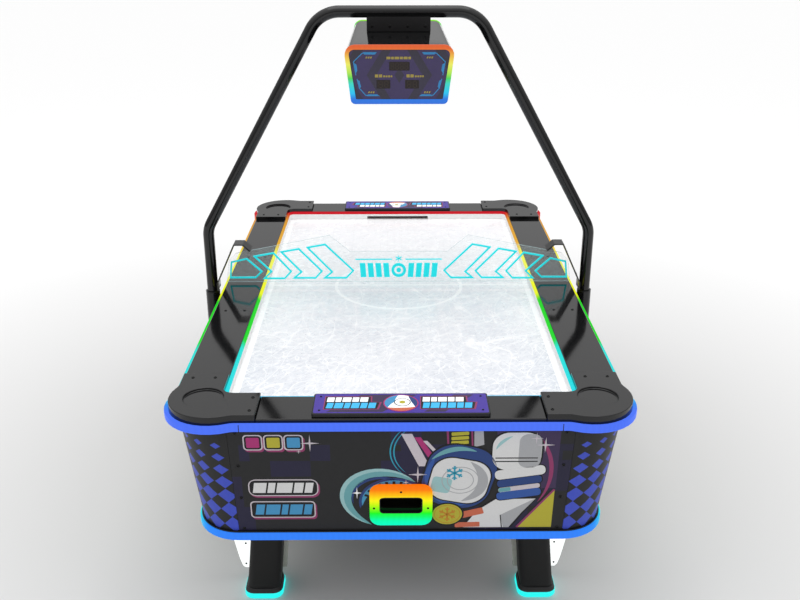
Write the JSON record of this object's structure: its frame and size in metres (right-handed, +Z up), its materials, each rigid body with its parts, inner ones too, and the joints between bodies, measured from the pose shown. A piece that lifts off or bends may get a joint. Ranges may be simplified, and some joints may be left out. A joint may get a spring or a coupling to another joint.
{
  "type": "air hockey table",
  "caption": "Full-size air hockey table with glowing rims, an overhead arch with a scoreboard, a clear centre divider and puck returns at both ends.",
  "frame": {"origin": "middle of the table's bounding box on the floor, directly under the centre of the playfield", "axes": "+X across the table to the right of a player at the front end, +Y along the table to the rear end, +Z up"},
  "size_m": [1.442, 2.1474, 1.788],
  "materials": {
    "panel_laminate": "matt charcoal printed laminate on board",
    "light_band": "glowing coloured light pipe",
    "wall_trim": "white wall with a glowing coloured top edge",
    "foot_glow": "black foot with a glowing cyan skirt",
    "playfield_laminate": "polished white laminate with fine scratches",
    "rail_lacquer": "piano black lacquer",
    "black_moulding": "gloss black moulding",
    "sign_print": "printed plate under clear gloss",
    "plenum_board": "bare fibreboard",
    "blower_steel": "zinc plated",
    "motor_casing": "dark painted casing",
    "black_plastic": "plain matt moulding",
    "leg_laminate": "satin charcoal",
    "white_acrylic": "backlit white acrylic",
    "zinc_foot": "zinc plated",
    "black_tube": "gloss black powder coat",
    "score_glass": "dark indigo display window",
    "clear_acrylic": "clear acrylic with glowing outlines"
  },
  "bodies": {
    "table": {"base_board": "panel_laminate", "front_panel": "panel_laminate", "rear_panel": "panel_laminate", "left_panel": "panel_laminate", "right_panel": "panel_laminate", "corner_panel_front_left": "panel_laminate", "corner_panel_front_right": "panel_laminate", "corner_panel_rear_left": "panel_laminate", "corner_panel_rear_right": "panel_laminate", "upper_light_band": "light_band", "lower_light_band": "light_band", "return_bezel_front": "light_band", "return_bezel_rear": "light_band", "scoreboard_bezel_front": "light_band", "scoreboard_bezel_rear": "light_band", "playfield_wall_trim": "wall_trim", "foot_base_front_left": "foot_glow", "foot_base_front_right": "foot_glow", "foot_base_rear_left": "foot_glow", "foot_base_rear_right": "foot_glow", "playfield_board": "playfield_laminate", "front_rail": "rail_lacquer", "rear_rail": "rail_lacquer", "left_rail": "rail_lacquer", "right_rail": "rail_lacquer", "scoreboard_housing": "black_moulding", "corner_block_front_left": "black_moulding", "corner_block_front_right": "black_moulding", "corner_block_rear_left": "black_moulding", "corner_block_rear_right": "black_moulding", "sign_plate_front": "sign_print", "sign_plate_rear": "sign_print", "air_plenum": "plenum_board", "blower_housing": "blower_steel", "blower_motor": "motor_casing", "puck_chute_front": "black_plastic", "puck_chute_rear": "black_plastic", "leg_front_left": "leg_laminate", "leg_front_right": "leg_laminate", "leg_rear_left": "leg_laminate", "leg_rear_right": "leg_laminate", "leg_fin_front_left": "white_acrylic", "leg_fin_front_right": "white_acrylic", "leg_fin_rear_left": "white_acrylic", "leg_fin_rear_right": "white_acrylic", "arch_tube": "black_tube", "post_sleeve_left": "black_tube", "post_sleeve_right": "black_tube", "scoreboard_hanger": "black_tube", "divider_bracket_left": "black_tube", "divider_bracket_right": "black_tube", "scoreboard_face_front": "score_glass", "scoreboard_face_rear": "score_glass", "divider_panel": "clear_acrylic"},
    "impeller": {"blower_impeller": "black_plastic"},
    "door": {"service_door": "panel_laminate"},
    "levelling_foot_front_left": {"levelling_foot_front_left": "zinc_foot"},
    "levelling_foot_front_right": {"levelling_foot_front_right": "zinc_foot"},
    "levelling_foot_rear_left": {"levelling_foot_rear_left": "zinc_foot"},
    "levelling_foot_rear_right": {"levelling_foot_rear_right": "zinc_foot"}
  },
  "joints": [
    {"name": "impeller_spin", "type": "hinge", "parent": "table", "child": "impeller", "pos_m": [0, 0, 0.56], "axis": [0, 0, 1], "continuous": true},
    {"name": "service_door_hinge", "type": "hinge", "parent": "table", "child": "door", "pos_m": [-0.6174, 0.3, 0.585], "axis": [-0.1299, 0, 0.9915], "range_deg": [0, 100]},
    {"name": "levelling_foot_front_left_screw", "type": "slide", "parent": "table", "child": "levelling_foot_front_left", "axis": [0, 0, -1], "range_m": [0, 0.02]},
    {"name": "levelling_foot_front_right_screw", "type": "slide", "parent": "table", "child": "levelling_foot_front_right", "axis": [0, 0, -1], "range_m": [0, 0.02]},
    {"name": "levelling_foot_rear_left_screw", "type": "slide", "parent": "table", "child": "levelling_foot_rear_left", "axis": [0, 0, -1], "range_m": [0, 0.02]},
    {"name": "levelling_foot_rear_right_screw", "type": "slide", "parent": "table", "child": "levelling_foot_rear_right", "axis": [0, 0, -1], "range_m": [0, 0.02]}
  ]
}
